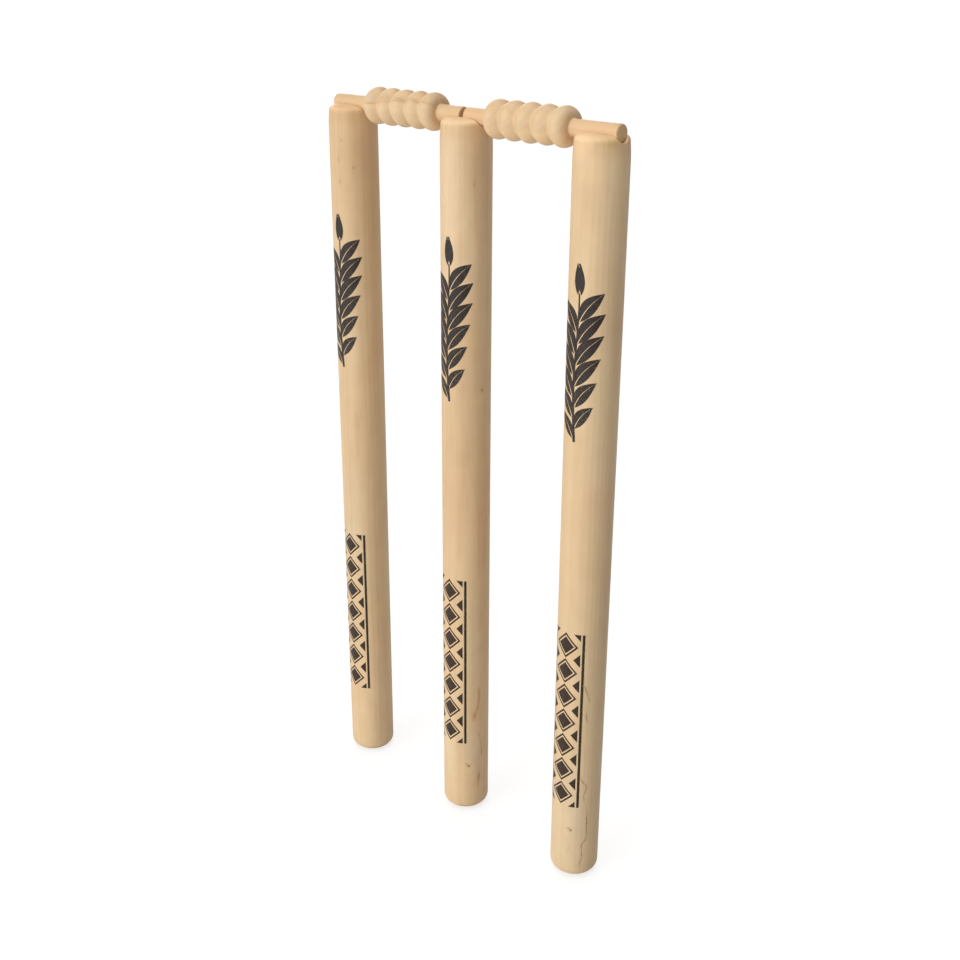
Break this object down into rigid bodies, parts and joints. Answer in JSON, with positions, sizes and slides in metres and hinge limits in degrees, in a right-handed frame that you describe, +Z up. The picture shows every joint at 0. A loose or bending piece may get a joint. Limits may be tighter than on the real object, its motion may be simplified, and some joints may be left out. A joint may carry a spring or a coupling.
{
  "type": "cricket stumps",
  "caption": "Set of turned wooden cricket stumps with domed, grooved tops and blunt rounded feet, and turned bails with beaded barrels resting across them.",
  "frame": {"origin": "middle of the middle stump's foot, on its flat, which is also the bottom centre of the whole set", "axes": "+Z up along the stumps; +X along the wicket towards the leg stump, which is on the right of someone who looks at the front; the front, with the ink marks, faces -Y, so +Y points to the back"},
  "size_m": [0.275, 0.0364, 0.5699],
  "materials": {
    "stump_wood": "pale straight-grained ash, turned and sanded smooth, with a thin satin lacquer and charcoal ink marks on the front",
    "bail_wood": "pale turned wood, a little warmer than the stumps, sanded smooth with a thin satin lacquer"
  },
  "bodies": {
    "middle_stump": {"middle_stump": "stump_wood"},
    "off_stump": {"off_stump": "stump_wood"},
    "leg_stump": {"leg_stump": "stump_wood"},
    "off_bail": {"off_bail": "bail_wood"},
    "leg_bail": {"leg_bail": "bail_wood"}
  },
  "joints": [
    {"name": "off_stump_lift", "type": "slide", "parent": "middle_stump", "child": "off_stump", "axis": [0, 0, 1], "range_m": [0, 0.15]},
    {"name": "leg_stump_lift", "type": "slide", "parent": "middle_stump", "child": "leg_stump", "axis": [0, 0, 1], "range_m": [0, 0.15]},
    {"name": "off_bail_lift", "type": "slide", "parent": "off_stump", "child": "off_bail", "axis": [0, 0, 1], "range_m": [0, 0.06]},
    {"name": "leg_bail_lift", "type": "slide", "parent": "leg_stump", "child": "leg_bail", "axis": [0, 0, 1], "range_m": [0, 0.06]}
  ]
}
